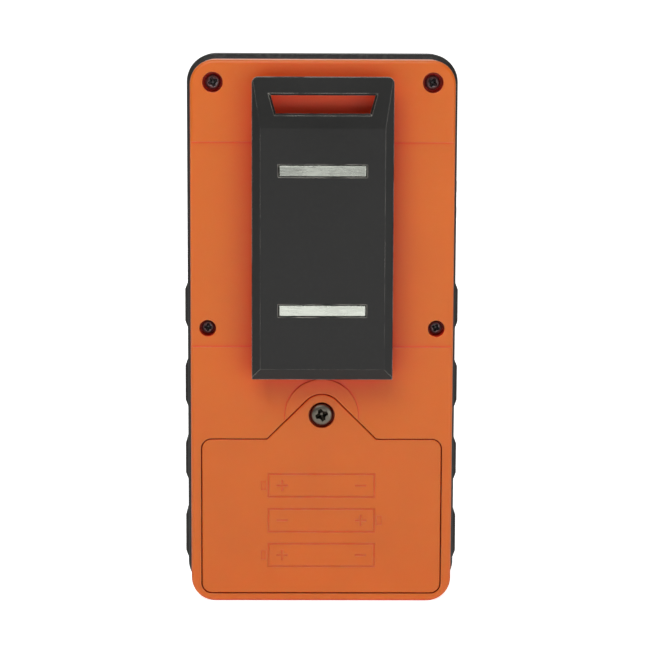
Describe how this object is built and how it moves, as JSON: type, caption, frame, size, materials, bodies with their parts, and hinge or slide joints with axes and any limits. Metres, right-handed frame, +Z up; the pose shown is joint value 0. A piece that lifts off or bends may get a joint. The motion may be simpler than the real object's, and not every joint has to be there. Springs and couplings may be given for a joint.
{
  "type": "pocket LED work light",
  "caption": "Pocket work light: orange case in a ridged black rubber sleeve, with a sprung magnetic clip on its back, a screwed battery door and a lamp window in front.",
  "frame": {"origin": "middle of the overall box at the bottom end, where the light stands on its end", "axes": "+Z up the length of the case, +Y out of the back where the clip is, the lamp faces -Y"},
  "size_m": [0.067, 0.0334, 0.1322],
  "materials": {
    "orange_shell": "moulded, fine grain",
    "orange_door": "moulded, fine grain",
    "dark_shell": "moulded",
    "rubber": "soft touch",
    "seal_rubber": "smooth",
    "clear_lens": "clear polycarbonate",
    "reflector": "metallised",
    "led_board": "white solder mask",
    "led": "phosphor",
    "circuit_board": "solder mask",
    "chips": "moulded packages",
    "switches": "moulded",
    "tray": "moulded",
    "cell": "printed sleeve",
    "contacts": "nickel plated",
    "lead_red": "insulation",
    "lead_black": "insulation",
    "black_screws": "black oxide",
    "steel_screw": "zinc plated",
    "brass": "turned",
    "clip_plastic": "fine grain",
    "pin_steel": "ground",
    "spring_steel": "spring wire",
    "magnet": "nickel plated",
    "keeper_steel": "plain",
    "button": "soft touch"
  },
  "bodies": {
    "housing": {"rear_shell": "orange_shell", "front_shell": "dark_shell", "grip_overmould": "rubber", "lens_panel": "clear_lens", "lens_gasket": "seal_rubber", "reflector_tray": "reflector", "led_board": "led_board", "led_array": "led", "driver_board": "circuit_board", "board_components": "chips", "tact_switch_front": "switches", "tact_switch_side": "switches", "battery_tray": "tray", "battery_cell_1": "cell", "battery_cell_2": "cell", "battery_cell_3": "cell", "contact_plates_left": "contacts", "contact_plates_right": "contacts", "contact_spring_1": "contacts", "contact_spring_2": "contacts", "contact_spring_3": "contacts", "lead_positive": "lead_red", "lead_negative": "lead_black", "case_screws_upper": "black_screws", "case_screws_middle": "black_screws", "case_screws_lower": "black_screws", "door_insert": "brass", "clip_pin": "pin_steel", "clip_spring": "spring_steel"},
    "clip": {"clip_plate": "clip_plastic", "magnet_upper": "magnet", "magnet_lower": "magnet", "magnet_keepers": "keeper_steel"},
    "door": {"battery_door": "orange_door", "door_seal": "seal_rubber"},
    "thumbscrew": {"door_screw": "steel_screw"},
    "power_key": {"power_button": "button"},
    "mode_key": {"side_button": "button"}
  },
  "joints": [
    {"name": "clip_hinge", "type": "hinge", "parent": "housing", "child": "clip", "pos_m": [0, 0.0116, 0.11], "axis": [1, 0, 0], "range_deg": [0, 12], "stiffness_Nm_per_rad": 0.6, "springref_deg": -20.05, "deforming": ["clip_spring"]},
    {"name": "door_lift", "type": "slide", "parent": "housing", "child": "door", "axis": [0, 1, 0], "range_m": [0, 0.016]},
    {"name": "door_screw_turn", "type": "hinge", "parent": "door", "child": "thumbscrew", "pos_m": [0, 0, 0.04595], "axis": [0, 1, 0], "continuous": true},
    {"name": "power_button_press", "type": "slide", "parent": "housing", "child": "power_key", "axis": [0, 1, 0], "range_m": [0, 0.0008], "stiffness_N_per_m": 800, "springref_m": -0.001},
    {"name": "side_button_press", "type": "slide", "parent": "housing", "child": "mode_key", "axis": [1, 0, 0], "range_m": [0, 0.0008], "stiffness_N_per_m": 800, "springref_m": -0.001}
  ]
}
